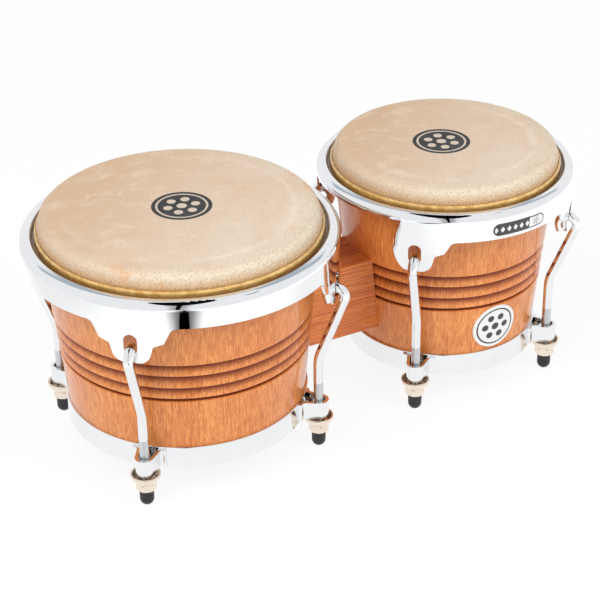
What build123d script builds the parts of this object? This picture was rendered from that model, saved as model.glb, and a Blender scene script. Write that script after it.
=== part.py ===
from build123d import *
import math
import os
from dataclasses import dataclass

os.makedirs("parts", exist_ok=True)

# A pair of bongo drums in millimetres. +Z is up and z = 0 is the floor under the rubber tips.
# +X runs from the large drum to the small one, -Y faces the player's side, and the origin is
# on the floor at the middle of the pair.

# ---------------------------------------------------------------- driving dimensions

drum_spacing = 219.4
large_rim_radius = 113.4
small_rim_radius = 97.6

# Rings around each drum, measured inwards from the rim's outer radius.
rod_circle_inset = 13.8
band_inset = 24.6
shell_top_inset = 14.1

# Turned wooden shell: a straight cone between two short cylinders.
shell_bottom_z = 24.0
shell_cone_low_z = 41.0
shell_cone_high_z = 165.0
shell_shoulder_z = 172.0
shell_top_z = 182.6
shell_wall = 11.5
bearing_setback = 3.2
bearing_width = 5.8
inner_bevel_z = 176.0
groove_tops = (111.0, 102.0, 92.0, 83.0)
groove_depth = 2.4
groove_land = 0.8
groove_overcut = 1.0
last_groove_height = 3.4
last_groove_wall = 2.4

# Chromed steel band around the foot of the shell.
band_bottom_z = 23.8
band_height = 17.0
band_wall = 1.6

# Bent-strap bracket that guides each tuning rod.
strap_bottom_z = 25.6
strap_height = 13.5
strap_wall = 2.3
strap_nose_radius = 6.7
strap_nose_offset = 0.9
strap_flare_deg = 10.0
foot_wall = 1.9
foot_half_width = 12.2
foot_bend_radius = 2.2

# Tuning rod: threaded below, bent into a hook above.
rod_radius = 3.55
thread_core_radius = 3.25
rod_bottom_z = 3.0
thread_top_z = 54.3
thread_shoulder = 0.25
hook_centre_z = 127.2
hook_inset = 0.5
hook_radius = 6.5
hook_arc_deg = 218.0
hook_tail = 3.5
lean_deg = 20.7
knee_radius = 30.0

# Nut, cup washer and rubber tip below the bracket.
nut_bottom_z = 12.5
nut_height = 6.2
nut_across_flats = 13.0
nut_bore_radius = 3.32
nut_chamfer = 0.9
nut_face_inset = 0.4
nut_corner_margin = 0.1
washer_bottom_z = 18.8
washer_height = 6.8
washer_rim_radius = 10.7
washer_bore_radius = 4.0
washer_wall = 1.6
washer_flare = 3.0
washer_rim_height = 2.2
washer_rim_width = 1.2
tip_height = 12.2
tip_radius = 5.2
tip_flat_radius = 2.4
tip_dome_height = 4.6
tip_draft = 0.1
tip_chamfer = 0.6

# Tension rim: rolled top channel, skirt, and four ears with slots for the hooks.
rim_wall = 1.6
rim_lip_width = 9.2
rim_lip_bevel = 1.2
rim_lip_drop = 1.6
rim_lip_z = 170.2
rim_corner_z = 169.1
rim_corner_radius = 5.5
rim_crest_radius = 1.2
rim_edge_radius = 0.5
flange_bottom_z = 165.9
channel_bottom_z = 163.7
large_skirt_bottom_z = 151.3
small_skirt_bottom_z = 149.0
ear_bottom_z = 124.0
ear_overlap = 2.0
slot_bottom_z = 130.15
slot_top_z = 145.5
slot_width = 9.6

# Hide head and the hoop that it is tucked around.
head_top_z = 184.1
head_inside_z = 182.75
head_edge_z = 173.0
head_edge_width = 1.8
head_corner_inset = 1.5
head_bend_radius = 4.2
head_fit = 0.2
hoop_top_z = 172.6
hoop_bottom_z = 161.6
hoop_inner_gap = 0.5
hoop_collar_inset = 11.0
hoop_foot_inset = 4.9
hoop_crown_radius = 1.2

# Centre block and the hardware that holds it.
block_width = 44.0
block_bottom_z = 53.5
block_top_z = 113.5
block_edge_radius = 1.5
bolt_heights = (69.0, 98.0)
bolt_radius = 4.0
bolt_hole_radius = 4.2
bolt_head_flats = 13.0
bolt_head_height = 5.3
bolt_reach = 18.0
saddle_radius = 11.0
saddle_depth = 4.0
saddle_overlap = 2.0
insert_radius = 6.0
insert_length = 15.0
insert_setback = 2.0
insert_hole_depth = 20.0

# Round badge on the small shell and oblong plate on its rim.
badge_angle = -88.9
badge_z = 61.3
badge_radius = 18.2
badge_thickness = 0.9
badge_margin = 0.1
plate_angle = -88.1
plate_z = 156.4
plate_length = 44.0
plate_height = 9.4
plate_thickness = 0.4

cutter = 20.0


@dataclass
class Drum:
    """One drum of the pair: its place, its size and which way its partner lies."""

    name: str
    axis_x: float
    rim_radius: float
    skirt_bottom_z: float
    ear_spread: float
    draft: float
    partner_deg: float
    turn_deg: float

    def __post_init__(self):
        self.axis = Axis((self.axis_x, 0, 0), (0, 0, 1))
        self.rod_circle = self.rim_radius - rod_circle_inset
        self.band_radius = self.rim_radius - band_inset
        self.shell_bottom_radius = self.band_radius - band_wall
        self.shell_top_radius = self.rim_radius - shell_top_inset

    def shell_radius(self, z):
        """Outer radius of the plain cone at height z."""
        share = (z - shell_cone_low_z) / (shell_cone_high_z - shell_cone_low_z)
        return self.shell_bottom_radius + share * (self.shell_top_radius - self.shell_bottom_radius)

    def skirt_radius(self, z):
        """Outer radius of the rim's skirt at height z."""
        share = (rim_corner_z - z) / (rim_corner_z - ear_bottom_z)
        return self.rim_radius - share * self.draft

    def posts(self):
        """The four tuning positions, as name and angle."""
        corners = {"front_left": 225, "front_right": 315, "back_right": 45, "back_left": 135}
        return {name: angle + self.turn_deg for name, angle in corners.items()}

    def point(self, angle, radius, z):
        turn = math.radians(angle)
        return (self.axis_x + radius * math.cos(turn), radius * math.sin(turn), z)

    def section_plane(self, angle):
        """Upright plane through the drum's axis: x outwards, y up."""
        turn = math.radians(angle)
        outward = (math.cos(turn), math.sin(turn), 0)
        return Plane(self.point(angle, 0, 0), x_dir=outward, z_dir=(outward[1], -outward[0], 0))

    def post_section(self, angle):
        """Upright plane through a tuning rod's axis: x outwards, y up."""
        section = self.section_plane(angle)
        return Plane(self.point(angle, self.rod_circle, 0), x_dir=section.x_dir, z_dir=section.z_dir)

    def post_axis(self, angle):
        return Axis(self.point(angle, self.rod_circle, 0), (0, 0, 1))

    def facing_plane(self, angle, radius):
        """Upright plane across a radius: x along the ring, y up, z outwards."""
        turn = math.radians(angle)
        outward = (math.cos(turn), math.sin(turn), 0)
        return Plane(self.point(angle, radius, 0), x_dir=(-outward[1], outward[0], 0), z_dir=outward)

    def floor_plane(self, angle, radius, z):
        """Level plane at a post: x outwards, y along the ring, z up."""
        turn = math.radians(angle)
        outward = (math.cos(turn), math.sin(turn), 0)
        return Plane(self.point(angle, radius, z), x_dir=outward, z_dir=(0, 0, 1))


overall_length = large_rim_radius + drum_spacing + small_rim_radius
large_axis_x = large_rim_radius - overall_length / 2
small_axis_x = large_axis_x + drum_spacing
large = Drum("large", large_axis_x, large_rim_radius, large_skirt_bottom_z, 1.0, 0.0, 0, 2.4)
small = Drum("small", small_axis_x, small_rim_radius, small_skirt_bottom_z, 0.94, 1.8, 180, 0.4)
drums = (large, small)


def save(builder, label):
    """Name a finished piece and write its file."""
    builder.part.label = label
    export_step(builder.part, f"parts/{label}.step")


# ---------------------------------------------------------------- shells


def groove_section(drum, top, bottom, is_last):
    """Closed outline of one turned groove: a square step in, then a slope back out."""
    inside = drum.shell_radius(top) - groove_depth
    outside = drum.shell_radius(top) + groove_overcut
    wall = [(inside, top), (inside, top - last_groove_wall)] if is_last else [(inside, top)]
    foot = (drum.shell_radius(bottom), bottom)
    with BuildLine() as outline:
        Polyline((outside, top), *wall, foot, (outside, bottom), close=True)
    return outline.line


def groove_spans():
    """Top and bottom height of each groove, and whether it is the lowest one."""
    spans = [(top, below + groove_land, False) for top, below in zip(groove_tops, groove_tops[1:])]
    return spans + [(groove_tops[-1], groove_tops[-1] - last_groove_height, True)]


def make_shell(drum):
    top, bottom = drum.shell_top_radius, drum.shell_bottom_radius
    section = drum.section_plane(0)
    with BuildPart() as shell:
        with BuildSketch(section):
            with BuildLine():
                FilletPolyline(
                    (bottom, shell_bottom_z),
                    (bottom, shell_cone_low_z),
                    (top, shell_cone_high_z),
                    (top, shell_shoulder_z),
                    (top - bearing_setback, shell_top_z),
                    (top - bearing_setback - bearing_width, shell_top_z),
                    (top - shell_wall, inner_bevel_z),
                    (top - shell_wall, shell_cone_high_z),
                    (bottom - shell_wall, shell_cone_low_z),
                    (bottom - shell_wall, shell_bottom_z),
                    radius=[0.8, 0, 12, 4, 3, 2, 4, 0, 0, 2],
                    close=True,
                )
            make_face()
        revolve(axis=drum.axis)
        for groove_top, groove_bottom, is_last in groove_spans():
            with BuildSketch(section):
                add(groove_section(drum, groove_top, groove_bottom, is_last))
                make_face()
            revolve(axis=drum.axis, mode=Mode.SUBTRACT)
        with BuildSketch(drum.facing_plane(drum.partner_deg, 0)):
            with Locations(*[(0, z) for z in bolt_heights]):
                Circle(bolt_hole_radius)
        extrude(amount=drum.rim_radius, mode=Mode.SUBTRACT)
    save(shell, f"{drum.name}_shell")


def make_band(drum):
    with BuildPart() as band:
        with BuildSketch(drum.section_plane(0)):
            with BuildLine():
                FilletPolyline(
                    (drum.shell_bottom_radius, band_bottom_z),
                    (drum.band_radius, band_bottom_z),
                    (drum.band_radius, band_bottom_z + band_height),
                    (drum.shell_bottom_radius, band_bottom_z + band_height),
                    radius=[0, 0.7, 0.7, 0],
                    close=True,
                )
            make_face()
        revolve(axis=drum.axis)
    save(band, f"{drum.name}_bottom_band")


# ---------------------------------------------------------------- brackets


def loop_outline(radius):
    """Round nose with two flared sides that run back to the band."""
    flare = math.radians(strap_flare_deg)
    back_x = -(band_inset - rod_circle_inset) - 3
    run = (strap_nose_offset + radius * math.sin(flare) - back_x) / math.cos(flare)
    back_y = radius * math.cos(flare) + run * math.sin(flare)
    side_deg = 90 - strap_flare_deg
    with BuildLine() as outline:
        nose = CenterArc((strap_nose_offset, 0), radius, -side_deg, 2 * side_deg)
        Polyline(nose @ 1, (back_x, back_y), (back_x, -back_y), nose @ 0)
    return outline.line


def strap_plan(drum):
    """Plan of the bracket about its rod: looped strap with a foot on each side."""
    with BuildSketch() as feet:
        with Locations((-drum.rod_circle, 0)):
            Circle(drum.band_radius + foot_wall)
        Rectangle(4 * strap_nose_radius, 2 * foot_half_width, mode=Mode.INTERSECT)
        Rectangle(4 * strap_nose_radius, 2 * strap_nose_radius, mode=Mode.SUBTRACT)
    with BuildSketch() as plan:
        add(loop_outline(strap_nose_radius))
        make_face()
        add(feet.sketch)
        junctions = plan.vertices().filter_by(lambda v: is_foot_junction(v, drum))
        fillet(junctions, foot_bend_radius)
        with BuildLine() as inside:
            add(loop_outline(strap_nose_radius - strap_wall))
        make_face(inside.line, mode=Mode.SUBTRACT)
        with Locations((-drum.rod_circle, 0)):
            Circle(drum.band_radius, mode=Mode.SUBTRACT)
    return plan.sketch


def is_foot_junction(vertex, drum):
    """True where the strap's side runs into the foot's outer face."""
    out = math.hypot(vertex.X + drum.rod_circle, vertex.Y)
    on_foot = abs(out - drum.band_radius - foot_wall) < 0.01
    return on_foot and abs(vertex.Y) < foot_half_width - 1


def make_bracket(drum, post, angle):
    with BuildPart() as bracket:
        with BuildSketch(drum.floor_plane(angle, drum.rod_circle, strap_bottom_z)):
            add(strap_plan(drum))
        extrude(amount=strap_height)
    save(bracket, f"{drum.name}_bracket_{post}")


# ---------------------------------------------------------------- tuning hardware


def make_rod(drum, post, angle):
    lean = math.radians(lean_deg)
    hook_x = drum.skirt_radius(hook_centre_z) - hook_inset
    hook_start = (hook_x + hook_radius * math.cos(lean), hook_centre_z - hook_radius * math.sin(lean))
    slope = (hook_start[0] - drum.rod_circle) / math.tan(lean)
    knee_z = hook_start[1] - slope
    knee_tangent = knee_radius * math.tan(lean / 2)
    with BuildPart() as rod:
        with BuildLine(drum.section_plane(angle)) as path:
            Line((drum.rod_circle, thread_top_z), (drum.rod_circle, knee_z - knee_tangent))
            knee = JernArc((drum.rod_circle, knee_z - knee_tangent), (0, 1), knee_radius, -lean_deg)
            Line(knee @ 1, hook_start)
            hook = JernArc(hook_start, (math.sin(lean), math.cos(lean)), hook_radius, hook_arc_deg)
            tail = (hook % 1) * hook_tail
            Line(hook @ 1, (hook @ 1) + tail)
        with BuildSketch(drum.floor_plane(angle, drum.rod_circle, thread_top_z)):
            Circle(rod_radius)
        sweep(path=path.wire())
        chamfer(rod.edges().filter_by(GeomType.CIRCLE).sort_by(Axis.Z)[0], thread_shoulder)
        with BuildSketch(drum.floor_plane(angle, drum.rod_circle, rod_bottom_z)):
            Circle(thread_core_radius)
        extrude(amount=thread_top_z - rod_bottom_z)
    save(rod, f"{drum.name}_tuning_rod_{post}")


def make_washer(drum, post, angle):
    low, high = washer_bottom_z, washer_bottom_z + washer_height
    base = washer_rim_radius - washer_flare
    inner = base - washer_wall / 2
    with BuildPart() as washer:
        with BuildSketch(drum.post_section(angle)):
            with BuildLine():
                FilletPolyline(
                    (washer_bore_radius, low),
                    (base, low),
                    (washer_rim_radius, high - washer_rim_height),
                    (washer_rim_radius, high),
                    (washer_rim_radius - washer_rim_width, high),
                    (inner, low + washer_wall),
                    (washer_bore_radius, low + washer_wall),
                    radius=[0, 1.6, 3, 0.5, 0.5, 1.5, 0],
                    close=True,
                )
            make_face()
        revolve(axis=drum.post_axis(angle))
    save(washer, f"{drum.name}_cup_washer_{post}")


def make_nut(drum, post, angle):
    flat = nut_across_flats / 2
    face = flat - nut_face_inset
    corner = nut_across_flats / math.sqrt(3) + nut_corner_margin
    low, high = nut_bottom_z, nut_bottom_z + nut_height
    with BuildPart() as nut:
        with BuildSketch(drum.floor_plane(angle, drum.rod_circle, low)):
            RegularPolygon(flat, 6, major_radius=False)
            Circle(nut_bore_radius, mode=Mode.SUBTRACT)
        extrude(amount=nut_height)
        with BuildSketch(drum.post_section(angle)):
            with BuildLine():
                Polyline(
                    (0, low),
                    (face, low),
                    (corner, low + nut_chamfer),
                    (corner, high - nut_chamfer),
                    (face, high),
                    (0, high),
                    close=True,
                )
            make_face()
        revolve(axis=drum.post_axis(angle), mode=Mode.INTERSECT)
    save(nut, f"{drum.name}_tuning_nut_{post}")


def make_tip(drum, post, angle):
    dome_edge = (tip_radius - tip_draft, tip_dome_height)
    with BuildPart() as tip:
        with BuildSketch(drum.post_section(angle)):
            with BuildLine():
                TangentArc(dome_edge, (tip_flat_radius, 0), tangent=(0, -1))
                Polyline(
                    dome_edge,
                    (tip_radius, tip_height - tip_chamfer),
                    (tip_radius - tip_chamfer, tip_height),
                    (thread_core_radius, tip_height),
                    (thread_core_radius, rod_bottom_z),
                    (0, rod_bottom_z),
                    (0, 0),
                    (tip_flat_radius, 0),
                )
            make_face()
        revolve(axis=drum.post_axis(angle))
    save(tip, f"{drum.name}_rubber_tip_{post}")


# ---------------------------------------------------------------- tension rims


def shouldered_half(drum, side):
    """Half of an ear that sweeps up into the skirt, with one small shoulder on the way."""
    spread = side * drum.ear_spread
    end = (36 * spread, drum.skirt_bottom_z)
    top = drum.skirt_bottom_z + ear_overlap
    with BuildLine() as outline:
        FilletPolyline(
            (0, ear_bottom_z),
            (11.8 * spread, ear_bottom_z),
            (15.3 * spread, ear_bottom_z + 13.2),
            (22.6 * spread, ear_bottom_z + 15.8),
            (28.2 * spread, drum.skirt_bottom_z),
            end,
            radius=[9, 2.5, 2.5, 5],
        )
        Polyline(end, (end[0], top), (0, top), (0, ear_bottom_z))
    return outline.line


def tongue_half(side):
    """Half of an ear that stands free of the skirt, a rounded tongue with a waist at its root."""
    root = channel_bottom_z + ear_overlap
    with BuildLine() as outline:
        Line((0, ear_bottom_z), (side * 4, ear_bottom_z))
        Spline(
            (side * 4, ear_bottom_z),
            (side * 11, ear_bottom_z + 3.3),
            (side * 15.4, ear_bottom_z + 12),
            (side * 16, ear_bottom_z + 23.5),
            (side * 12.8, ear_bottom_z + 35.5),
            (side * 9.6, root),
            tangents=((side, 0), (-side * 0.35, 1)),
        )
        Polyline((side * 9.6, root), (0, root), (0, ear_bottom_z))
    return outline.line


def ear_halves(drum, angle):
    """Outlines of an ear's two halves: the half towards the other drum is a tongue."""
    corner = (angle - drum.turn_deg - drum.partner_deg) % 360
    right = tongue_half(1) if corner == 315 else shouldered_half(drum, 1)
    left = tongue_half(-1) if corner == 45 else shouldered_half(drum, -1)
    return right, left


def make_rim(drum):
    outer = drum.rim_radius
    inner = outer - rim_wall
    lip = outer - rim_lip_width
    corner, crest = rim_corner_radius, rim_crest_radius
    foot = ear_bottom_z - rim_wall
    skirt_start = drum.partner_deg + drum.turn_deg + 45
    with BuildPart() as rim:
        for angle in drum.posts().values():
            with BuildSketch(drum.facing_plane(angle, outer - cutter)):
                for half in ear_halves(drum, angle):
                    with BuildLine():
                        add(half)
                    make_face()
                with Locations((0, (slot_bottom_z + slot_top_z) / 2)):
                    SlotOverall(slot_top_z - slot_bottom_z, slot_width, rotation=90, mode=Mode.SUBTRACT)
            extrude(amount=2 * cutter)
        with BuildSketch(drum.section_plane(skirt_start)):
            with BuildLine():
                Polyline(
                    (0, drum.skirt_bottom_z),
                    (outer + cutter, drum.skirt_bottom_z),
                    (outer + cutter, rim_lip_z),
                    (0, rim_lip_z),
                    close=True,
                )
            make_face()
        revolve(axis=drum.axis, revolution_arc=270)
        with BuildSketch(drum.floor_plane(0, 0, channel_bottom_z)):
            Circle(outer + cutter)
        extrude(amount=cutter)
        with BuildSketch(drum.section_plane(0)):
            with BuildLine():
                FilletPolyline(
                    (drum.skirt_radius(foot), foot),
                    (outer, rim_corner_z),
                    (lip + rim_lip_bevel, rim_lip_z),
                    (lip, rim_lip_z - rim_lip_drop),
                    (lip, flange_bottom_z),
                    (lip + rim_wall, flange_bottom_z),
                    (lip + rim_wall, rim_lip_z - rim_wall - rim_edge_radius),
                    (inner, rim_corner_z - rim_wall),
                    (drum.skirt_radius(foot) - rim_wall, foot),
                    radius=[0, corner, crest, crest, rim_edge_radius, rim_edge_radius, crest, corner - rim_wall, 0],
                    close=True,
                )
            make_face()
        revolve(axis=drum.axis, mode=Mode.INTERSECT)
    save(rim, f"{drum.name}_rim")


# ---------------------------------------------------------------- heads


def make_head_skin(drum):
    edge = drum.shell_top_radius
    with BuildPart() as skin:
        with BuildSketch(drum.section_plane(0)):
            with BuildLine():
                FilletPolyline(
                    (0, head_inside_z),
                    (edge - bearing_setback + head_fit, head_inside_z),
                    (edge, head_edge_z),
                    (edge + head_edge_width, head_edge_z),
                    (edge - head_corner_inset, head_top_z),
                    (0, head_top_z),
                    radius=[0, 2.8, 0, 0.6, head_bend_radius, 0],
                    close=True,
                )
            make_face()
        revolve(axis=drum.axis)
    save(skin, f"{drum.name}_head_skin")


def make_flesh_hoop(drum):
    inside = drum.shell_top_radius + hoop_inner_gap
    collar = drum.rim_radius - hoop_collar_inset
    foot = drum.rim_radius - hoop_foot_inset
    with BuildPart() as hoop:
        with BuildSketch(drum.section_plane(0)):
            with BuildLine():
                FilletPolyline(
                    (inside, hoop_bottom_z),
                    (foot, hoop_bottom_z),
                    (foot, flange_bottom_z),
                    (collar, flange_bottom_z),
                    (collar, hoop_top_z),
                    (inside, hoop_top_z),
                    radius=[0.8, 1.2, 0.8, 0.5, hoop_crown_radius, hoop_crown_radius],
                    close=True,
                )
            make_face()
        revolve(axis=drum.axis)
    save(hoop, f"{drum.name}_flesh_hoop")


# ---------------------------------------------------------------- centre block and its fixings


def make_block():
    with BuildPart() as block:
        with BuildSketch(Plane.XY.offset(block_bottom_z)):
            with Locations(((large.axis_x + small.axis_x) / 2, 0)):
                Rectangle(drum_spacing, block_width)
        extrude(amount=block_top_z - block_bottom_z)
        fillet(block.edges().filter_by(Axis.X), block_edge_radius)
        for drum in drums:
            with BuildSketch(drum.section_plane(0)):
                with BuildLine():
                    Polyline(
                        (0, shell_cone_low_z),
                        (drum.shell_bottom_radius, shell_cone_low_z),
                        (drum.shell_top_radius, shell_cone_high_z),
                        (0, shell_cone_high_z),
                        close=True,
                    )
                make_face()
            revolve(axis=drum.axis, mode=Mode.SUBTRACT)
            for z in bolt_heights:
                with BuildSketch(drum.facing_plane(drum.partner_deg, drum.shell_radius(z))):
                    with Locations((0, z)):
                        Circle(insert_radius)
                extrude(amount=insert_hole_depth, both=True, mode=Mode.SUBTRACT)
    save(block, "centre_block")


def make_inserts():
    with BuildPart() as inserts:
        for drum in drums:
            for z in bolt_heights:
                start = drum.shell_radius(z) + insert_setback
                with BuildSketch(drum.facing_plane(drum.partner_deg, start)):
                    with Locations((0, z)):
                        Circle(insert_radius)
                        Circle(bolt_radius, mode=Mode.SUBTRACT)
                extrude(amount=insert_length)
    save(inserts, "block_inserts")


def make_block_bolts(drum):
    with BuildPart() as bolts:
        for z in bolt_heights:
            seat = drum.shell_radius(z) - shell_wall - saddle_depth
            with BuildSketch(drum.facing_plane(drum.partner_deg, seat - bolt_head_height)):
                with Locations((0, z)):
                    RegularPolygon(bolt_head_flats / 2, 6, major_radius=False)
            extrude(amount=bolt_head_height)
            with BuildSketch(drum.facing_plane(drum.partner_deg, seat)):
                with Locations((0, z)):
                    Circle(bolt_radius)
            extrude(amount=saddle_depth + shell_wall + bolt_reach)
    save(bolts, f"{drum.name}_block_bolts")


def make_saddle_washers(drum):
    inner_low = drum.shell_bottom_radius - shell_wall
    inner_high = drum.shell_top_radius - shell_wall
    with BuildPart() as saddles:
        for z in bolt_heights:
            seat = drum.shell_radius(z) - shell_wall - saddle_depth
            with BuildSketch(drum.facing_plane(drum.partner_deg, seat)):
                with Locations((0, z)):
                    Circle(saddle_radius)
                    Circle(bolt_hole_radius, mode=Mode.SUBTRACT)
            extrude(amount=saddle_depth + saddle_overlap)
        with BuildSketch(drum.section_plane(0)):
            with BuildLine():
                Polyline(
                    (0, shell_cone_low_z),
                    (inner_low, shell_cone_low_z),
                    (inner_high, shell_cone_high_z),
                    (0, shell_cone_high_z),
                    close=True,
                )
            make_face()
        revolve(axis=drum.axis, mode=Mode.INTERSECT)
    save(saddles, f"{drum.name}_saddle_washers")


# ---------------------------------------------------------------- badge and rim plate


def make_badge():
    reach = badge_radius + badge_margin
    low, high = badge_z - reach, badge_z + reach
    with BuildPart() as badge:
        with BuildSketch(small.section_plane(badge_angle)):
            with BuildLine():
                Polyline(
                    (small.shell_radius(low), low),
                    (small.shell_radius(low) + badge_thickness, low),
                    (small.shell_radius(high) + badge_thickness, high),
                    (small.shell_radius(high), high),
                    close=True,
                )
            make_face()
        revolve(axis=small.axis)
        with BuildSketch(small.facing_plane(badge_angle, small.band_radius - cutter)):
            with Locations((0, badge_z)):
                Circle(badge_radius)
        extrude(amount=2 * cutter, mode=Mode.INTERSECT)
    save(badge, "shell_badge")


def make_rim_plate():
    low, high = small.skirt_bottom_z, channel_bottom_z
    with BuildPart() as plate:
        with BuildSketch(small.section_plane(plate_angle)):
            with BuildLine():
                Polyline(
                    (small.skirt_radius(low), low),
                    (small.skirt_radius(low) + plate_thickness, low),
                    (small.skirt_radius(high) + plate_thickness, high),
                    (small.skirt_radius(high), high),
                    close=True,
                )
            make_face()
        revolve(axis=small.axis)
        with BuildSketch(small.facing_plane(plate_angle, small.rim_radius - cutter)):
            with Locations((0, plate_z)):
                SlotOverall(plate_length, plate_height)
        extrude(amount=2 * cutter, mode=Mode.INTERSECT)
    save(plate, "rim_plate")


# ---------------------------------------------------------------- build the pair

for drum in drums:
    make_shell(drum)
    make_band(drum)
    make_rim(drum)
    make_head_skin(drum)
    make_flesh_hoop(drum)
    make_block_bolts(drum)
    make_saddle_washers(drum)
    for post, angle in drum.posts().items():
        make_bracket(drum, post, angle)
        make_rod(drum, post, angle)
        make_washer(drum, post, angle)
        make_nut(drum, post, angle)
        make_tip(drum, post, angle)
make_block()
make_inserts()
make_badge()
make_rim_plate()
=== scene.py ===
import math

import bmesh
import bpy
from mathutils import Matrix, Vector


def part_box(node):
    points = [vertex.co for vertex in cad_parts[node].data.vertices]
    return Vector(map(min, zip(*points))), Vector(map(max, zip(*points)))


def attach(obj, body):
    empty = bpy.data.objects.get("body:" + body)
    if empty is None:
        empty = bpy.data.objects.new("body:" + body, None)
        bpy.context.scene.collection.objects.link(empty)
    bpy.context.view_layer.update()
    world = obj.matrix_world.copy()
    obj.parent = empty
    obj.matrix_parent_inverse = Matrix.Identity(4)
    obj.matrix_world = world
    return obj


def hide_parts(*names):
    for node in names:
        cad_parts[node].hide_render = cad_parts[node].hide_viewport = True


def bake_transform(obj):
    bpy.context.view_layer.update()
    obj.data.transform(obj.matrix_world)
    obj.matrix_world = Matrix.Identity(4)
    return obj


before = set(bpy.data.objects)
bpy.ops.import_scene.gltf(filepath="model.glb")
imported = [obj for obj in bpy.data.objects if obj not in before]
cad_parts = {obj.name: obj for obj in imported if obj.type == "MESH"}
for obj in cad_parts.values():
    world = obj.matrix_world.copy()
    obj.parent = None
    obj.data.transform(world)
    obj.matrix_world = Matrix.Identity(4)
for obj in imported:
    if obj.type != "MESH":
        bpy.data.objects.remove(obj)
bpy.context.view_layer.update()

# A pair of bongo drums: chromed hardware, lacquered wood and natural hide. All lengths are in metres.

MM = 0.001
DRUM_NAMES = ("large", "small")
POSTS = ("front_left", "front_right", "back_right", "back_left")
AROUND = 256  # vertices around a turned piece

# ---------------------------------------------------------------- places taken from the frame


class Drum:
    """Where one drum stands and how large it is, read from its CAD nodes."""

    band_thickness = 1.6 * MM
    hide_edge_width = 1.8 * MM
    hoop_foot_height = 4.3 * MM

    def __init__(self, name):
        self.name = name
        self.tuner = f"{name}_tuner"
        low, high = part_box(f"{name}_bottom_band")
        self.centre = Vector(((low.x + high.x) / 2, (low.y + high.y) / 2, 0))
        self.band_radius = (high.x - low.x) / 2
        low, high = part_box(f"{name}_head_skin")
        self.head_radius = (high.x - low.x) / 2 - self.hide_edge_width
        self.head_top = high.z
        low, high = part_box(f"{name}_flesh_hoop")
        self.hoop_foot = (high.x - low.x) / 2
        self.hoop_bottom, self.hoop_top = low.z, high.z
        self.hoop_step = low.z + self.hoop_foot_height
        low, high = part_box(f"{name}_rim")
        self.rim_radius = max(high.y - low.y, high.x - low.x) / 2


drums = {name: Drum(name) for name in DRUM_NAMES}
large, small = drums["large"], drums["small"]


def middle(node):
    low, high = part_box(node)
    return (low + high) / 2


# ---------------------------------------------------------------- node graphs


class Graph:
    """Short names for the shader nodes that the materials below are made of."""

    def __init__(self, tree):
        self.tree = tree
        tree.nodes.clear()

    def node(self, kind, inputs=None, **settings):
        made = self.tree.nodes.new(kind)
        for key, value in settings.items():
            setattr(made, key, value)
        for key, value in (inputs or {}).items():
            self.feed(made.inputs[key], value)
        return made

    def feed(self, socket, value):
        if isinstance(value, bpy.types.NodeSocket):
            self.tree.links.new(value, socket)
        elif value is not None:
            socket.default_value = value

    def math(self, operation, a, b=None, c=None):
        made = self.node("ShaderNodeMath", operation=operation)
        for socket, value in zip(made.inputs, (a, b, c)):
            self.feed(socket, value)
        return made.outputs[0]

    def vector(self, operation, a, b=None):
        made = self.node("ShaderNodeVectorMath", operation=operation)
        self.feed(made.inputs[0], a)
        self.feed(made.inputs[1], b)
        return made.outputs["Value"] if operation in ("LENGTH", "DISTANCE") else made.outputs[0]

    def dot(self, vector, axis):
        facts = {0: vector, 1: tuple(axis)}
        return self.node("ShaderNodeVectorMath", facts, operation="DOT_PRODUCT").outputs["Value"]

    def place(self, origin=(0, 0, 0), stretch=(1, 1, 1)):
        """Position on the object, moved to an origin and stretched."""
        moved = self.vector("SUBTRACT", self.node("ShaderNodeTexCoord").outputs["Object"], tuple(origin))
        return self.vector("MULTIPLY", moved, tuple(stretch))

    def split(self, vector):
        return self.node("ShaderNodeSeparateXYZ", {0: vector}).outputs

    def join(self, x, y, z):
        return self.node("ShaderNodeCombineXYZ", {0: x, 1: y, 2: z}).outputs[0]

    def noise(self, vector, scale, detail=3.0, roughness=0.5, distortion=0.0):
        facts = {"Vector": vector, "Scale": scale, "Detail": detail, "Roughness": roughness}
        return self.node("ShaderNodeTexNoise", {**facts, "Distortion": distortion}).outputs["Fac"]

    def span(self, value, low, high, to_low=0.0, to_high=1.0, smooth=True):
        kind = "SMOOTHSTEP" if smooth else "LINEAR"
        facts = {"Value": value, "From Min": low, "From Max": high, "To Min": to_low, "To Max": to_high}
        return self.node("ShaderNodeMapRange", facts, interpolation_type=kind).outputs[0]

    def mix(self, share, a, b):
        made = self.node("ShaderNodeMix", data_type="RGBA")
        self.feed(made.inputs["Factor"], share)
        self.feed(made.inputs["A"], self.solid(a))
        self.feed(made.inputs["B"], self.solid(b))
        return made.outputs["Result"]

    def solid(self, colour):
        return colour if isinstance(colour, bpy.types.NodeSocket) else (*colour[:3], 1.0)

    def bump(self, height, strength, distance):
        facts = {"Height": height, "Strength": strength, "Distance": distance}
        return self.node("ShaderNodeBump", facts).outputs[0]


def material(name, **sockets):
    """A new material with a Principled shader, ready for its colour, roughness and bump."""
    made = bpy.data.materials.new(name)
    made.use_nodes = True
    graph = Graph(made.node_tree)
    shader = graph.node("ShaderNodeBsdfPrincipled", {k.replace("_", " "): v for k, v in sockets.items()})
    output = graph.node("ShaderNodeOutputMaterial")
    graph.tree.links.new(shader.outputs[0], output.inputs[0])
    return made, graph, shader


def axis_distance(graph, centre):
    """Distance from a drum's axis."""
    x, y, _ = graph.split(graph.place((centre.x, centre.y, 0)))
    return graph.vector("LENGTH", graph.join(x, y, 0.0))


# ---------------------------------------------------------------- metals, rubber


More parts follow.
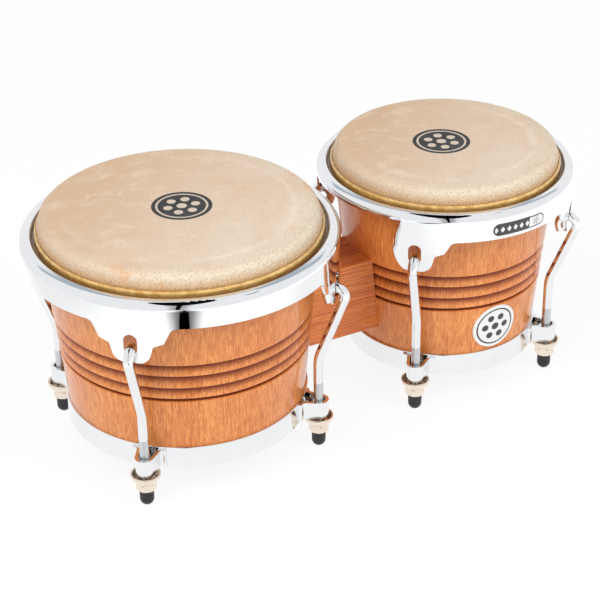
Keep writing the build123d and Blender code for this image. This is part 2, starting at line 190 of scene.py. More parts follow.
def plated(name, colour, roughness, smudge):
    """Polished plating: clear reflections, with faint wiping marks in the gloss."""
    made, graph, shader = material(name, Metallic=1.0)
    place = graph.place()
    cloud = graph.noise(place, 38.0, 4.0, 0.6)
    wiped = graph.noise(graph.place(stretch=(1.0, 1.0, 0.25)), 260.0, 3.0, 0.55)
    tone = graph.mix(graph.span(cloud, 0.35, 0.7), colour, [c * 0.965 for c in colour])
    graph.feed(shader.inputs["Base Color"], tone)
    marks = graph.math("MULTIPLY", graph.span(wiped, 0.5, 0.75), graph.span(cloud, 0.4, 0.7))
    graph.feed(shader.inputs["Roughness"], graph.math("MULTIPLY_ADD", marks, smudge, roughness))
    ripple = graph.noise(place, 30.0, 1.0, 0.3)
    grit = graph.noise(place, 900.0, 2.0, 0.5)
    height = graph.math("MULTIPLY_ADD", grit, 0.006, ripple)
    graph.feed(shader.inputs["Normal"], graph.bump(height, 0.03, 0.25 * MM))
    return made


def satin_nickel():
    """Warm nickel plate with fine turning marks around each rod."""
    made, graph, shader = material("nickel", Metallic=1.0)
    place = graph.place()
    cloud = graph.noise(place, 160.0, 4.0, 0.6)
    turned = graph.noise(graph.place(stretch=(0.15, 0.15, 1.0)), 3200.0, 2.0, 0.6)
    graph.feed(shader.inputs["Base Color"], graph.mix(cloud, (0.90, 0.80, 0.68), (0.78, 0.68, 0.57)))
    graph.feed(shader.inputs["Roughness"], graph.span(turned, 0.25, 0.8, 0.2, 0.36))
    graph.feed(shader.inputs["Normal"], graph.bump(turned, 0.15, 0.08 * MM))
    return made


def bolt_zinc():
    made, graph, shader = material("bolt_zinc", Metallic=1.0)
    place = graph.place()
    spangle = graph.noise(place, 420.0, 5.0, 0.7)
    graph.feed(shader.inputs["Base Color"], graph.mix(spangle, (0.52, 0.53, 0.55), (0.68, 0.69, 0.70)))
    graph.feed(shader.inputs["Roughness"], graph.span(spangle, 0.3, 0.7, 0.28, 0.45))
    graph.feed(shader.inputs["Normal"], graph.bump(spangle, 0.1, 0.1 * MM))
    return made


def machined_brass():
    made, graph, shader = material("machined_brass", Metallic=1.0)
    turned = graph.noise(graph.place(stretch=(1.0, 0.1, 0.1)), 2400.0, 2.0, 0.6)
    graph.feed(shader.inputs["Base Color"], graph.mix(turned, (0.78, 0.56, 0.24), (0.60, 0.40, 0.15)))
    graph.feed(shader.inputs["Roughness"], graph.span(turned, 0.3, 0.7, 0.25, 0.42))
    graph.feed(shader.inputs["Normal"], graph.bump(turned, 0.2, 0.06 * MM))
    return made


def moulded_rubber():
    """Black rubber, dusty where it meets the floor."""
    made, graph, shader = material("moulded_rubber")
    place = graph.place()
    grain = graph.noise(place, 1800.0, 3.0, 0.6)
    _, _, height = graph.split(place)
    dusty = graph.math("MULTIPLY", graph.span(height, 5 * MM, 0.5 * MM), graph.span(grain, 0.4, 0.7))
    graph.feed(shader.inputs["Base Color"], graph.mix(dusty, (0.012, 0.012, 0.013), (0.06, 0.057, 0.052)))
    graph.feed(shader.inputs["Roughness"], graph.span(grain, 0.3, 0.7, 0.42, 0.62))
    graph.feed(shader.inputs["Normal"], graph.bump(grain, 0.25, 0.12 * MM))
    return made


# ---------------------------------------------------------------- lacquered wood


def grain(graph, origin, along):
    """Masks of lacquered timber: broad tone, fibres and open pores, all drawn out along one axis."""

    def drawn(share):
        return graph.place(origin, [share if i == along else 1.0 for i in range(3)])

    tone = graph.noise(drawn(0.14), 30.0, 3.0, 0.55, 0.6)
    ribbon = graph.noise(drawn(0.035), 420.0, 4.0, 0.7)
    fibre = graph.noise(drawn(0.03), 1150.0, 3.0, 0.7)
    pore = graph.noise(drawn(0.06), 1500.0, 2.0, 0.5)
    pores = graph.span(pore, 0.58, 0.68)
    return tone, ribbon, fibre, pores


def wood_colours(graph, masks, light, dark, vein):
    tone, ribbon, fibre, pores = masks
    colour = graph.mix(graph.span(tone, 0.3, 0.7), light, dark)
    colour = graph.mix(graph.span(ribbon, 0.46, 0.62, 0.0, 0.5), colour, vein)
    colour = graph.mix(graph.span(fibre, 0.50, 0.62, 0.0, 0.6), colour, vein)
    paler = graph.span(fibre, 0.48, 0.36, 0.0, 0.55)
    colour = graph.mix(paler, colour, [min(0.95, c * 1.28 + 0.02) for c in light])
    return graph.mix(graph.math("MULTIPLY", pores, 0.5), colour, [c * 0.55 for c in vein])


def shell_wood(drum):
    """Honey-orange turned wood: upright grain, with a dark stain and painted shade in the grooves and plain
    wood inside.
    """
    cone_bottom, cone_top = 41 * MM, 165 * MM
    made, graph, shader = material(
        f"{drum.name}_wood", Coat_Roughness=0.06, Coat_IOR=1.45, Specular_IOR_Level=0.25)
    masks = grain(graph, drum.centre, 2)
    colour = wood_colours(graph, masks, (0.80, 0.305, 0.085), (0.72, 0.235, 0.056), (0.53, 0.130, 0.024))
    _, _, height = graph.split(graph.place())
    low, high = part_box(f"{drum.name}_shell")
    bottom_radius = drum.band_radius - drum.band_thickness
    top_radius = (high.x - low.x) / 2
    cone = graph.span(height, cone_bottom, cone_top, bottom_radius, top_radius, smooth=False)
    sunk = graph.math("SUBTRACT", cone, axis_distance(graph, drum.centre))
    groove = graph.span(sunk, 0.1 * MM, 2.0 * MM)
    outer = graph.math("LESS_THAN", sunk, 4 * MM)
    # stain with painted shade: each groove is painted dark red under its step, where shade falls
    groove_stain_and_shade = graph.math("MULTIPLY", groove, outer)
    colour = graph.mix(graph.math("MULTIPLY", groove_stain_and_shade, 0.92), colour, (0.15, 0.012, 0.003))
    graph.feed(shader.inputs["Coat Weight"], graph.span(groove_stain_and_shade, 0.0, 0.8, 0.6, 0.15))
    inside = graph.span(sunk, 6 * MM, 9 * MM)
    colour = graph.mix(graph.math("MULTIPLY", inside, 0.8), colour, (0.40, 0.20, 0.085))
    graph.feed(shader.inputs["Base Color"], colour)
    graph.feed(shader.inputs["Roughness"], graph.span(masks[2], 0.3, 0.7, 0.32, 0.46))
    relief = graph.math("MULTIPLY_ADD", masks[3], -0.8, masks[2])
    graph.feed(shader.inputs["Normal"], graph.bump(relief, 0.12, 0.12 * MM))
    gloss = graph.noise(graph.place(stretch=(1, 1, 0.4)), 60.0, 2.0, 0.5)
    graph.feed(shader.inputs["Coat Normal"], graph.bump(gloss, 0.1, 0.3 * MM))
    return made


def block_wood():
    """The same wood, a little redder, with its grain level, along the block."""
    made, graph, shader = material(
        "block_wood", Coat_Weight=0.5, Coat_Roughness=0.08, Coat_IOR=1.45, Specular_IOR_Level=0.25)
    masks = grain(graph, middle("centre_block"), 0)
    colour = wood_colours(graph, masks, (0.78, 0.25, 0.056), (0.66, 0.17, 0.034), (0.46, 0.09, 0.016))
    graph.feed(shader.inputs["Base Color"], colour)
    graph.feed(shader.inputs["Roughness"], graph.span(masks[2], 0.3, 0.7, 0.34, 0.5))
    relief = graph.math("MULTIPLY_ADD", masks[3], -0.8, masks[2])
    graph.feed(shader.inputs["Normal"], graph.bump(relief, 0.15, 0.12 * MM))
    return made


# ---------------------------------------------------------------- hide


def emblem(graph, place, radius, petals):
    """Masks of a plain round mark: its disc, and a ring with a rosette of dots inside it."""
    x, y, _ = graph.split(place)
    flat = graph.join(x, y, 0.0)
    out = graph.vector("LENGTH", flat)
    edge = 0.25 * MM
    disc = graph.span(out, radius + edge, radius - edge)
    ring = band(graph, out, 0.83 * radius, 0.035 * radius, edge)
    dots = ring
    for i in range(petals):
        turn = 2 * math.pi * i / petals
        spot = (0.47 * radius * math.cos(turn), 0.47 * radius * math.sin(turn), 0.0)
        away = graph.vector("DISTANCE", flat, spot)
        dots = graph.math("MAXIMUM", dots, graph.span(away, 0.15 * radius + edge, 0.15 * radius - edge))
    dots = graph.math("MAXIMUM", dots, graph.span(out, 0.17 * radius + edge, 0.17 * radius - edge))
    return disc, dots


def band(graph, value, centre, half, edge):
    """Mask of a line of a given half width about one value."""
    away = graph.math("ABSOLUTE", graph.math("SUBTRACT", value, centre))
    return graph.span(away, half + edge, half - edge)


def hide(drum, print_offset, turn):
    """Scraped natural hide: pinkish beige, mottled, paler and speckled over the shoulder, printed mark,
    with painted sheen paler towards the front right and a painted highlight ring inside the edge.
    """
    print_radius = 21.5 * MM
    highlight_ring_inset = 18 * MM
    made, graph, shader = material(f"{drum.name}_hide", Specular_IOR_Level=0.35)
    place = graph.place((drum.centre.x, drum.centre.y, 0))
    out = axis_distance(graph, drum.centre)
    _, _, height = graph.split(graph.place())
    cloud = graph.noise(place, 14.0, 4.0, 0.55, 0.8)
    blotch = graph.noise(place, 60.0, 5.0, 0.65, 0.5)
    fleck = graph.noise(place, 900.0, 4.0, 0.7)
    speck = graph.noise(place, 1900.0, 3.0, 0.7)
    x, y, _ = graph.split(place)
    # painted sheen: the hide is painted paler towards the front right, where the light falls, and darker
    # and oranger towards the back left
    slant = graph.math("SUBTRACT", graph.math("MULTIPLY", x, 0.8), y)
    paler = graph.span(slant, -1.0 * drum.head_radius, 1.2 * drum.head_radius, 0.0, 1.0, smooth=False)
    colour = graph.mix(paler, (0.585, 0.395, 0.245), (0.73, 0.62, 0.505))
    colour = graph.mix(graph.span(cloud, 0.40, 0.66, 0.0, 0.45), colour, (0.62, 0.41, 0.25))
    colour = graph.mix(graph.span(blotch, 0.46, 0.7, 0.0, 0.5), colour, (0.76, 0.64, 0.51))
    colour = graph.mix(graph.span(fleck, 0.48, 0.64, 0.0, 0.5), colour, (0.56, 0.37, 0.23))
    colour = graph.mix(graph.span(speck, 0.54, 0.68, 0.0, 0.35), colour, (0.82, 0.72, 0.60))
    edge = drum.head_radius
    # painted highlight: a pale ring inside the edge, strongest on the side painted with sheen
    painted_highlight_ring = band(graph, out, edge - highlight_ring_inset, 0.5 * MM, 5.0 * MM)
    patchy = graph.math("MULTIPLY", graph.span(blotch, 0.35, 0.6, 0.1, 0.75), paler)
    colour = graph.mix(graph.math("MULTIPLY", painted_highlight_ring, patchy), colour, (0.83, 0.75, 0.64))
    shoulder = graph.span(out, edge - 12 * MM, edge - 3 * MM)
    pale = graph.mix(graph.span(fleck, 0.42, 0.62, 0.0, 0.75), (0.70, 0.61, 0.47), (0.46, 0.31, 0.17))
    pale = graph.mix(graph.span(speck, 0.5, 0.66, 0.0, 0.8), pale, (0.78, 0.73, 0.64))
    # the shoulder's own pale speckled hide, with painted sheen: it is paler on the front right, where the
    # light falls
    pale_shoulder_and_sheen = graph.math("MULTIPLY", shoulder, graph.math("MULTIPLY_ADD", paler, 0.75, 0.2))
    colour = graph.mix(pale_shoulder_and_sheen, colour, pale)
    near_hoop = graph.span(height, drum.head_top - 3.2 * MM, drum.hoop_top + 1.2 * MM)
    warm = graph.mix(graph.span(fleck, 0.4, 0.62), (0.60, 0.37, 0.17), (0.38, 0.20, 0.08))
    colour = graph.mix(graph.math("MULTIPLY", near_hoop, 0.8), colour, warm)
    stain = graph.math("MULTIPLY", graph.span(cloud, 0.5, 0.62), graph.span(blotch, 0.45, 0.6))
    stain = graph.math("MULTIPLY", graph.math("MULTIPLY", stain, shoulder), 0.6)
    colour = graph.mix(stain, colour, (0.66, 0.31, 0.12))
    spot = drum.centre + Vector((*print_offset, 0))
    facts = {"Vector": graph.place(spot), "Angle": turn}
    turned = graph.node("ShaderNodeVectorRotate", facts, rotation_type="Z_AXIS")
    disc, dots = emblem(graph, turned.outputs[0], print_radius, 6)
    worn = graph.span(graph.noise(place, 700.0, 3.0, 0.6), 0.62, 0.75, 1.0, 0.55)
    ink = graph.mix(dots, (0.022, 0.021, 0.022), (0.60, 0.50, 0.40))
    top_side = graph.math("GREATER_THAN", height, drum.head_top - 0.8 * MM)
    printed = graph.math("MULTIPLY", graph.math("MULTIPLY", disc, worn), top_side)
    colour = graph.mix(printed, colour, ink)
    graph.feed(shader.inputs["Base Color"], colour)
    graph.feed(shader.inputs["Roughness"], graph.span(blotch, 0.3, 0.7, 0.44, 0.60))
    relief = graph.math("MULTIPLY_ADD", speck, 0.35, fleck)
    graph.feed(shader.inputs["Normal"], graph.bump(relief, 0.3, 0.12 * MM))
    return made


def tucked_hide(drum):
    """Hide dried hard around the hoop: golden, glossy, with streaks along the ring, a painted highlight on
    the top of the roll and painted shade down its outer wall.
    """
    made, graph, shader = material(f"{drum.name}_tucked", Coat_Weight=0.7, Coat_Roughness=0.16)
    x, y, z = graph.split(graph.place((drum.centre.x, drum.centre.y, drum.hoop_top)))
    out = graph.vector("LENGTH", graph.join(x, y, 0.0))
    turn = graph.math("ARCTAN2", y, x)
    cosine, sine = graph.math("COSINE", turn), graph.math("SINE", turn)
    around = graph.join(cosine, sine, graph.math("MULTIPLY", z, 14.0))
    pleat = graph.noise(around, 16.0, 5.0, 0.7, 0.3)
    along = graph.join(cosine, sine, graph.math("MULTIPLY", z, 130.0))
    streak = graph.noise(along, 7.0, 4.0, 0.6, 0.3)
    fine = graph.noise(graph.place(stretch=(1, 1, 3)), 620.0, 3.0, 0.6)
    colour = graph.mix(graph.span(pleat, 0.38, 0.62), (0.78, 0.52, 0.19), (0.54, 0.29, 0.065))
    colour = graph.mix(graph.span(streak, 0.42, 0.68, 0.0, 0.45), colour, (0.62, 0.38, 0.11))
    colour = graph.mix(graph.span(fine, 0.5, 0.7, 0.0, 0.4), colour, (0.40, 0.20, 0.045))
    # painted highlight along the top of the roll, next to the head
    highlit_roll_top = graph.span(out, drum.head_radius + 2.4 * MM, drum.head_radius + 1.3 * MM)
    colour = graph.mix(graph.math("MULTIPLY", highlit_roll_top, 0.45), colour, (0.86, 0.70, 0.42))
    # painted shade: the outer wall of the roll is painted dark brown, where it sits in the shade of the
    # rim's lip
    shaded_wall = graph.span(z, -1.4 * MM, -4.0 * MM)
    colour = graph.mix(graph.math("MULTIPLY", shaded_wall, 0.85), colour, (0.20, 0.09, 0.025))
    graph.feed(shader.inputs["Base Color"], colour)
    graph.feed(shader.inputs["Roughness"], graph.span(fine, 0.3, 0.7, 0.3, 0.5))
    height = graph.math("MULTIPLY_ADD", fine, 0.4, streak)
    graph.feed(shader.inputs["Normal"], graph.bump(height, 0.4, 0.3 * MM))
    return made


# ---------------------------------------------------------------- badge and plate


def enamel(name, centre, draw):
    """White enamel with a black pattern, drawn in the plane that faces out from the small drum."""
    made, graph, shader = material(name, Coat_Weight=0.6, Coat_Roughness=0.05)
    out = Vector((centre.x - small.centre.x, centre.y - small.centre.y, 0)).normalized()
    side = Vector((-out.y, out.x, 0))
    place = graph.place(centre)
    across = graph.dot(place, side)
    _, _, up = graph.split(place)
    black = draw(graph, across, up)
    haze = graph.noise(graph.place(), 90.0, 3.0, 0.5)
    white = graph.mix(haze, (0.83, 0.83, 0.82), (0.76, 0.76, 0.755))
    graph.feed(shader.inputs["Base Color"], graph.mix(black, white, (0.012, 0.012, 0.014)))
    graph.feed(shader.inputs["Roughness"], graph.span(haze, 0.3, 0.7, 0.2, 0.34))
    graph.feed(shader.inputs["Normal"], graph.bump(black, 0.2, -0.1 * MM))
    return made


def badge_pattern(graph, across, up):
    """A black rosette inside a thin black ring."""
    badge_radius = 18.2 * MM
    disc, dots = emblem(graph, graph.join(across, up, 0.0), badge_radius, 6)
    return graph.math("MULTIPLY", dots, disc)


def plate_pattern(graph, across, up):
    """A black outline, a black field with a row of pale lozenges, and one rosette on white beside it."""
    half_length, half_height = 22.0 * MM, 4.7 * MM
    field_end, row_start = 8.0 * MM, -20.0 * MM
    lozenge_pitch, lozenge_half_width = 5.2 * MM, 1.75 * MM
    rosette_place, rosette_radius = 14.2 * MM, 3.9 * MM
    straight = half_length - half_height
    beyond = graph.math("MAXIMUM", graph.math("SUBTRACT", graph.math("ABSOLUTE", across), straight), 0.0)
    away = graph.vector("LENGTH", graph.join(beyond, up, 0.0))
    line = band(graph, away, half_height - 0.5 * MM, 0.45 * MM, 0.12 * MM)
    field = graph.span(across, field_end + 0.1 * MM, field_end - 0.1 * MM)
    folded = graph.math("PINGPONG", graph.math("SUBTRACT", across, row_start), lozenge_pitch / 2)
    stretched = graph.math("MULTIPLY_ADD", graph.math("ABSOLUTE", up), 0.75, folded)
    lozenge = graph.span(stretched, lozenge_half_width + 0.15 * MM, lozenge_half_width - 0.15 * MM)
    inner = graph.span(away, half_height - 1.1 * MM, half_height - 1.3 * MM)
    around_lozenges = graph.math("SUBTRACT", 1.0, graph.math("MULTIPLY", lozenge, inner))
    mark = graph.math("MULTIPLY", field, around_lozenges)
    beside = graph.math("SUBTRACT", across, rosette_place)
    _, dots = emblem(graph, graph.join(beside, up, 0.0), rosette_radius, 5)
    return graph.math("MAXIMUM", graph.math("MAXIMUM", line, mark), dots)


# ---------------------------------------------------------------- mesh helpers


def new_object(name, mesh_builder, body, surface, angle):
    """Finishes a bmesh as a smooth-shaded piece that rides on a body, or on none if it is to be blended."""
    bmesh.ops.remove_doubles(mesh_builder, verts=mesh_builder.verts, dist=1e-7)
    bmesh.ops.recalc_face_normals(mesh_builder, faces=mesh_builder.faces)
    mesh = bpy.data.meshes.new(name)
    mesh_builder.to_mesh(mesh)
    mesh_builder.free()
    mesh.shade_smooth()
    mesh.set_sharp_from_angle(angle=math.radians(angle))
    made = bpy.data.objects.new(name, mesh)
    bpy.context.scene.collection.objects.link(made)
    mesh.materials.append(surface)
    if body:
        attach(made, body)
    return made


def rounded(points, steps=6):
    """A profile whose corners are replaced by arcs. Each point is (radius, z, corner radius)."""
    smooth = []
    last = len(points) - 1
    for i, (r, z, size) in enumerate(points):
        here = Vector((r, z))
        if size == 0 or i in (0, last):
            smooth.append(here)
            continue
        before = (Vector(points[i - 1][:2]) - here).normalized()
        after = (Vector(points[i + 1][:2]) - here).normalized()
        half = before.angle(after) / 2
        reach = size / math.tan(half)
        start, end = here + before * reach, here + after * reach
        for k in range(steps + 1):
            t = k / steps
            smooth.append((1 - t) ** 2 * start + 2 * t * (1 - t) * here + t ** 2 * end)
    return smooth


def lathe(profile, centre, closed, wobble=None):
    """Turns a profile of (radius, z) about a vertical axis. Points on the axis become one vertex."""
    builder = bmesh.new()
    rings = []
    for point in profile:
        if point.x < 1e-6:
            rings.append([builder.verts.new((centre.x, centre.y, point.y))] * AROUND)
            continue
        ring = []
        for k in range(AROUND):
            turn = 2 * math.pi * k / AROUND
            radius, z = wobble(point, turn) if wobble else point
            x, y = centre.x + radius * math.cos(turn), centre.y + radius * math.sin(turn)
            ring.append(builder.verts.new((x, y, z)))
        rings.append(ring)
    pairs = list(zip(rings, rings[1:]))
    if closed:
        pairs.append((rings[-1], rings[0]))
    for inner, outer in pairs:
        for k in range(AROUND):
            following = (k + 1) % AROUND
            corners = []
            for vertex in (inner[k], inner[following], outer[following], outer[k]):
                if vertex not in corners:
                    corners.append(vertex)
            if len(corners) > 2:
                builder.faces.new(corners)
    return builder


def uneven(amount_r, amount_z, lobes, phase):
    """A slow, repeatable unevenness around a ring, as hand-tucked hide has."""

    def move(point, turn):
        wave = sum(math.sin(n * turn + phase * n * n) / (i + 1) for i, n in enumerate(lobes))
        return point.x + amount_r * wave, point.y + amount_z * wave

    return move


# ---------------------------------------------------------------- heads


def make_head(drum, print_offset, turn):
    """The hide: flat over the drum, round over its edge, and down the shoulder into the hoop's crease."""
    thickness = 1.0 * MM
    edge, top = drum.head_radius, drum.head_top
    crease = drum.hoop_top + 0.3 * MM
    outside = rounded([
        (0, top, 0),
        (edge - 8.0 * MM, top - 0.05 * MM, 6.0 * MM),
        (edge - 3.4 * MM, top - 0.7 * MM, 3.0 * MM),
        (edge - 0.7 * MM, top - 3.2 * MM, 3.4 * MM),
        (edge + 1.2 * MM, crease + 1.8 * MM, 2.0 * MM),
        (edge + 1.1 * MM, crease - 1.0 * MM, 0),
        (edge + 0.45 * MM, crease - 2.2 * MM, 0),
    ])
    flat = [Vector((edge * share, top)) for share in (0.15, 0.35, 0.55, 0.7, 0.8, 0.88)]
    inside = rounded([
        (edge + 0.35 * MM, crease - 2.0 * MM, 0),
        (edge + 0.30 * MM, crease + 1.2 * MM, 1.0 * MM),
        (edge - 1.6 * MM, top - 3.2 * MM, 2.0 * MM),
        (edge - 4.4 * MM, top - thickness, 2.0 * MM),
        (0, top - thickness, 0),
    ], 4)
    profile = [outside[0]] + flat + outside[1:] + inside
    builder = lathe(profile, drum.centre, closed=False)
    surface = hide(drum, print_offset, turn)
    head = new_object(f"{drum.name}_head", builder, None, surface, 60)
    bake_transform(head)
    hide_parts(f"{drum.name}_head_skin")


def make_tuck(drum):
    """The roll of hide around the flesh hoop, with a lapped edge on its outer side."""
    edge, top, bottom = drum.head_radius, drum.hoop_top, drum.hoop_bottom
    collar, foot, step = edge + 3.1 * MM, drum.hoop_foot, drum.hoop_step
    profile = rounded([
        (edge + 0.6 * MM, top - 4 * MM, 0),
        (edge + 0.65 * MM, top - 1.2 * MM, 0.8 * MM),
        (edge + 1.5 * MM, top + 0.05 * MM, 0.8 * MM),
        (edge + 2.5 * MM, top + 0.25 * MM, 0.8 * MM),
        (collar, top - 1.2 * MM, 0.8 * MM),
        (collar - 0.25 * MM, top - 3.0 * MM, 0.8 * MM),
        (collar, top - 4.6 * MM, 0.6 * MM),
        (collar, step, 0.5 * MM),
        (foot, step, 0.9 * MM),
        (foot, bottom, 1.0 * MM),
        (edge + 0.6 * MM, bottom, 0.8 * MM),
        (edge + 0.6 * MM, top - 6 * MM, 0),
    ], 5)
    wave = uneven(0.06 * MM, 0.05 * MM, (3, 7, 12, 19), 0.9 + drum.centre.x * 7)
    builder = lathe(profile, drum.centre, closed=True, wobble=wave)
    tuck = new_object(f"{drum.name}_tuck", builder, drum.tuner, tucked_hide(drum), 60)
    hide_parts(f"{drum.name}_flesh_hoop")


# ---------------------------------------------------------------- threads


def make_thread(drum, post, surface):
    """A rolled thread on the lower part of a tuning rod, as one helical ridge around the core."""
    low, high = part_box(f"{drum.name}_rubber_tip_{post}")
    axis = Vector(((low.x + high.x) / 2, (low.y + high.y) / 2, 0))
    start, end = 23.2 * MM, 54.0 * MM
    pitch, core, crest, sunk = 1.0 * MM, 3.22 * MM, 3.47 * MM, 0.03 * MM
    steps = 28
    section = ((core, -0.46), (crest, -0.10), (crest, 0.10), (core, 0.46))
    builder = bmesh.new()
    count = int((end - start) / pitch * steps)
    rings = []
    for i in range(count + 1):
        turn = 2 * math.pi * i / steps
        fade = min(1.0, i / steps, (count - i) / steps)
        ring = []
        for radius, offset in section:
            r = core - sunk + (radius - core + sunk) * fade
            z = start + pitch * i / steps + offset * pitch * max(fade, 0.1)
            ring.append(builder.verts.new((axis.x + r * math.cos(turn), axis.y + r * math.sin(turn), z)))
        rings.append(ring)
    corners = len(section)
    for a, b in zip(rings, rings[1:]):
        for k in range(corners):
            following = (k + 1) % corners
            builder.faces.new((a[k], b[k], b[following], a[following]))
    builder.faces.new(rings[0])
    builder.faces.new(reversed(rings[-1]))
    new_object(f"{drum.name}_thread_{post}", builder, drum.tuner, surface, 30)


# ---------------------------------------------------------------- dressing the CAD nodes


def dress(node, surface):
    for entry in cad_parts[node].material_slots:
        entry.material = surface


chrome = plated("chrome", (0.845, 0.86, 0.875), 0.025, 0.05)
rod_chrome = plated("rod_chrome", (0.84, 0.85, 0.86), 0.03, 0.06)
thread_chrome = plated("thread_chrome", (0.62, 0.64, 0.655), 0.22, 0.12)
nickel = satin_nickel()
zinc = bolt_zinc()
brass = machined_brass()
rubber = moulded_rubber()

for drum in drums.values():
    dress(f"{drum.name}_shell", shell_wood(drum))
    dress(f"{drum.name}_bottom_band", chrome)
    dress(f"{drum.name}_rim", chrome)
    dress(f"{drum.name}_block_bolts", zinc)
    dress(f"{drum.name}_saddle_washers", zinc)
    for post in POSTS:
        dress(f"{drum.name}_bracket_{post}", chrome)
        dress(f"{drum.name}_cup_washer_{post}", nickel)
        dress(f"{drum.name}_tuning_nut_{post}", nickel)
        dress(f"{drum.name}_tuning_rod_{post}", rod_chrome)
        dress(f"{drum.name}_rubber_tip_{post}", rubber)
        make_thread(drum, post, thread_chrome)
    make_tuck(drum)
make_head(large, (2 * MM, 0), math.radians(8))
make_head(small, (-3 * MM, 1 * MM), math.radians(-14))
dress("centre_block", block_wood())
dress("block_inserts", brass)
dress("shell_badge", enamel("badge_enamel", middle("shell_badge"), badge_pattern))
dress("rim_plate", enamel("plate_enamel", middle("rim_plate"), plate_pattern))

# ---------------------------------------------------------------- studio

# The camera that took the photograph, as fitted to the rims, heads and rods. Angles are in degrees.
VIEW_AZIMUTH, VIEW_ELEVATION, VIEW_ROLL = -27.92, 29.91, -0.67
VIEW_DISTANCE = 1.38926
VIEW_TARGET = Vector((-0.00552, 0.00282, 0.080))
LENS = 111.2


def direction(azimuth, elevation):
    """Unit vector towards a place in the studio. Azimuth 0 is in front of the drums, on -Y."""
    a, e = math.radians(azimuth), math.radians(elevation)
    return Vector((math.sin(a) * math.cos(e), -math.cos(a) * math.cos(e), math.sin(e)))


def make_camera():
    back = direction(VIEW_AZIMUTH, VIEW_ELEVATION)
    roll = Matrix.Rotation(math.radians(VIEW_ROLL), 3, "Z").to_quaternion()
    data = bpy.data.cameras.new("camera")
    data.lens = LENS
    data.sensor_width = 36.0
    data.clip_start, data.clip_end = 0.01, 50.0
    camera = bpy.data.objects.new("camera", data)
    camera.rotation_mode = "QUATERNION"
    camera.rotation_quaternion = (-back).to_track_quat("-Z", "Y") @ roll
    camera.location = VIEW_TARGET + VIEW_DISTANCE * back
    bpy.context.scene.collection.objects.link(camera)
    bpy.context.scene.camera = camera


def make_stage_plane(name, corners, surface):
    builder = bmesh.new()
    builder.faces.new([builder.verts.new((x, y, 0)) for x, y in corners])
    mesh = bpy.data.meshes.new(name)
    builder.to_mesh(mesh)
    builder.free()
    mesh.materials.append(surface)
    made = bpy.data.objects.new(name, mesh)
    bpy.context.scene.collection.objects.link(made)
    return made


def make_floor():
    """Plain white floor. Its reflections fade near the drums and towards the left of the studio."""
    made, graph, shader = material("floor", Roughness=0.9, Specular_IOR_Level=0.0)
    shader.inputs["Base Color"].default_value = (0.10, 0.10, 0.10, 1)
    shader.inputs["Emission Color"].default_value = (1, 1, 1, 1)
    near = graph.math("MINIMUM", axis_distance(graph, large.centre), axis_distance(graph, small.centre))
    lit = graph.span(near, 0.20, 0.30, 0.93, 1.10)
    left = direction(VIEW_AZIMUTH - 90, 0)
    aside = graph.dot(graph.place(), left)
    strength = graph.math("MULTIPLY", lit, graph.span(aside, 0.33, 0.46, 1.0, 0.80))
    seen = graph.node("ShaderNodeLightPath").outputs["Is Camera Ray"]
    level = graph.node("ShaderNodeMix", {"Factor": seen, "A": strength, "B": 0.9}, data_type="FLOAT")
    graph.feed(shader.inputs["Emission Strength"], level.outputs["Result"])
    floor = make_stage_plane("floor", [(-20, -20), (20, -20), (20, 20), (-20, 20)], made)
    floor.location.z = -0.2 * MM


def make_flag():
    """A soft-edged black card just above the floor before the large drum, which only the chrome sees."""
    start, end, half_width = 0.226, 2.0, 0.13
    made = bpy.data.materials.new("flag")
    made.use_nodes = True
    graph = Graph(made.node_tree)
    x, y, _ = graph.split(graph.node("ShaderNodeTexCoord").outputs["Object"])
    across = graph.math("ABSOLUTE", x)
    foot = graph.span(y, 0.281, 0.291, 0.021, 0.004)
    width = graph.math("ADD", foot, graph.span(y, 0.3, end, 0.0, 0.05, smooth=False))
    core = graph.span(graph.math("DIVIDE", across, width), 1.3, 0.8)
    flank_width = graph.span(y, 0.24, 0.30, 0.075, 0.115)
    flank = graph.span(graph.math("DIVIDE", across, flank_width), 1.0, 0.1, 0.0, 0.88)
    share = graph.math("MULTIPLY", graph.math("MAXIMUM", core, flank), graph.span(y, start, start + 0.008))
    clear = graph.node("ShaderNodeBsdfTransparent")
    black = graph.node("ShaderNodeEmission", {"Color": (0, 0, 0, 1), "Strength": 0.0})
    blend = graph.node("ShaderNodeMixShader", {0: share, 1: clear.outputs[0], 2: black.outputs[0]})
    output = graph.node("ShaderNodeOutputMaterial")
    graph.tree.links.new(blend.outputs[0], output.inputs[0])
    towards = VIEW_TARGET + VIEW_DISTANCE * direction(VIEW_AZIMUTH, VIEW_ELEVATION) - large.centre
    towards.z = 0
    towards.normalize()
    corners = [(-half_width, start), (half_width, start), (half_width, end), (-half_width, end)]
    card = make_stage_plane("flag", corners, made)
    card.location = large.centre + towards * large.rim_radius + Vector((0, 0, 2 * MM))
    card.rotation_euler = (0, 0, math.atan2(towards.y, towards.x) - math.pi / 2)
    card.visible_camera = False
    card.visible_diffuse = False
    card.visible_shadow = False


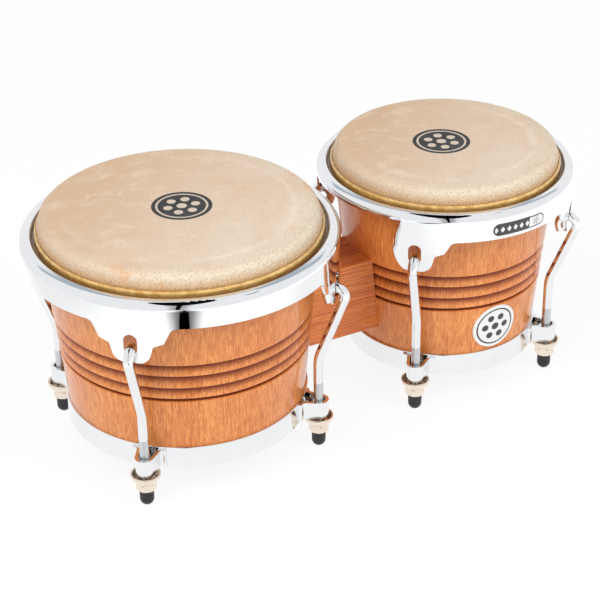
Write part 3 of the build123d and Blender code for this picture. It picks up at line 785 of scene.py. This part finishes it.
def make_world():
    """A white studio with the dark places that the chrome mirrors.

    A black slot with soft flanks stands behind the camera, two black ovals hang overhead, and the far
    side is grey high up. Diffuse light is even and dimmer, and the backdrop is white.
    """
    white, far_grey, black = (0.96, 0.96, 0.97), (0.46, 0.52, 0.58), (0.004, 0.004, 0.005)
    even_light, backdrop = (0.35, 0.35, 0.36), (1.0, 1.0, 1.0)
    world = bpy.data.worlds.new("studio")
    bpy.context.scene.world = world
    world.use_nodes = True
    graph = Graph(world.node_tree)
    towards = graph.node("ShaderNodeTexCoord").outputs["Generated"]
    across = direction(VIEW_AZIMUTH + 90, 0)
    front = direction(VIEW_AZIMUTH, 0)

    def share(axis):
        return graph.dot(towards, axis)

    def ellipse(axis, side, half_width, half_height):
        rise = axis.cross(side)
        x = graph.math("DIVIDE", share(side), half_width)
        y = graph.math("DIVIDE", share(rise), half_height)
        inside = graph.span(graph.vector("LENGTH", graph.join(x, y, 0.0)), 1.0, 0.93)
        return graph.math("MULTIPLY", inside, graph.math("GREATER_THAN", share(axis), 0.0))

    _, _, up = graph.split(towards)
    ahead = share(front)
    far_side = graph.span(ahead, -0.50, -0.60)
    high = graph.span(up, 0.55, 0.62)
    colour = graph.mix(graph.math("MULTIPLY", far_side, high), white, far_grey)

    beside = graph.math("ABSOLUTE", share(across))
    slot = graph.math("MULTIPLY", graph.span(beside, 0.032, 0.022), graph.span(ahead, 0.1, 0.25))
    flank = graph.math("MULTIPLY", graph.span(beside, 0.16, 0.03, 0.0, 0.55), graph.span(ahead, 0.2, 0.5))
    dark = graph.math("MAXIMUM", slot, flank)
    overhead = ellipse(direction(VIEW_AZIMUTH + 180, 89), across, 0.20, 0.50)
    beyond = ellipse(direction(VIEW_AZIMUTH + 110, 67), direction(VIEW_AZIMUTH + 20, 0), 0.05, 0.035)
    dark = graph.math("MAXIMUM", graph.math("MAXIMUM", dark, overhead), beyond)
    colour = graph.mix(dark, colour, black)

    rays = graph.node("ShaderNodeLightPath").outputs
    colour = graph.mix(rays["Is Diffuse Ray"], colour, even_light)
    colour = graph.mix(rays["Is Camera Ray"], colour, backdrop)
    background = graph.node("ShaderNodeBackground", {"Color": colour, "Strength": 1.0})
    output = graph.node("ShaderNodeOutputWorld")
    graph.tree.links.new(background.outputs[0], output.inputs[0])


def make_light(name, azimuth, elevation, distance, size, power):
    """A square softbox aimed at the middle of the drums."""
    data = bpy.data.lights.new(name, "AREA")
    data.shape = "SQUARE"
    data.size = size
    data.energy = power
    light = bpy.data.objects.new(name, data)
    towards = direction(azimuth, elevation)
    light.location = Vector((0, 0, 100 * MM)) + towards * distance
    light.rotation_mode = "QUATERNION"
    light.rotation_quaternion = (-towards).to_track_quat("-Z", "Y")
    light.visible_glossy = False
    bpy.context.scene.collection.objects.link(light)


make_camera()
make_floor()
make_flag()
make_world()
make_light("key", VIEW_AZIMUTH - 40, 48, 2.2, 1.3, 31.0)
make_light("fill", VIEW_AZIMUTH + 55, 42, 2.4, 1.5, 31.0)

view = bpy.context.scene.view_settings
view.view_transform = "Standard"
view.look = "None"
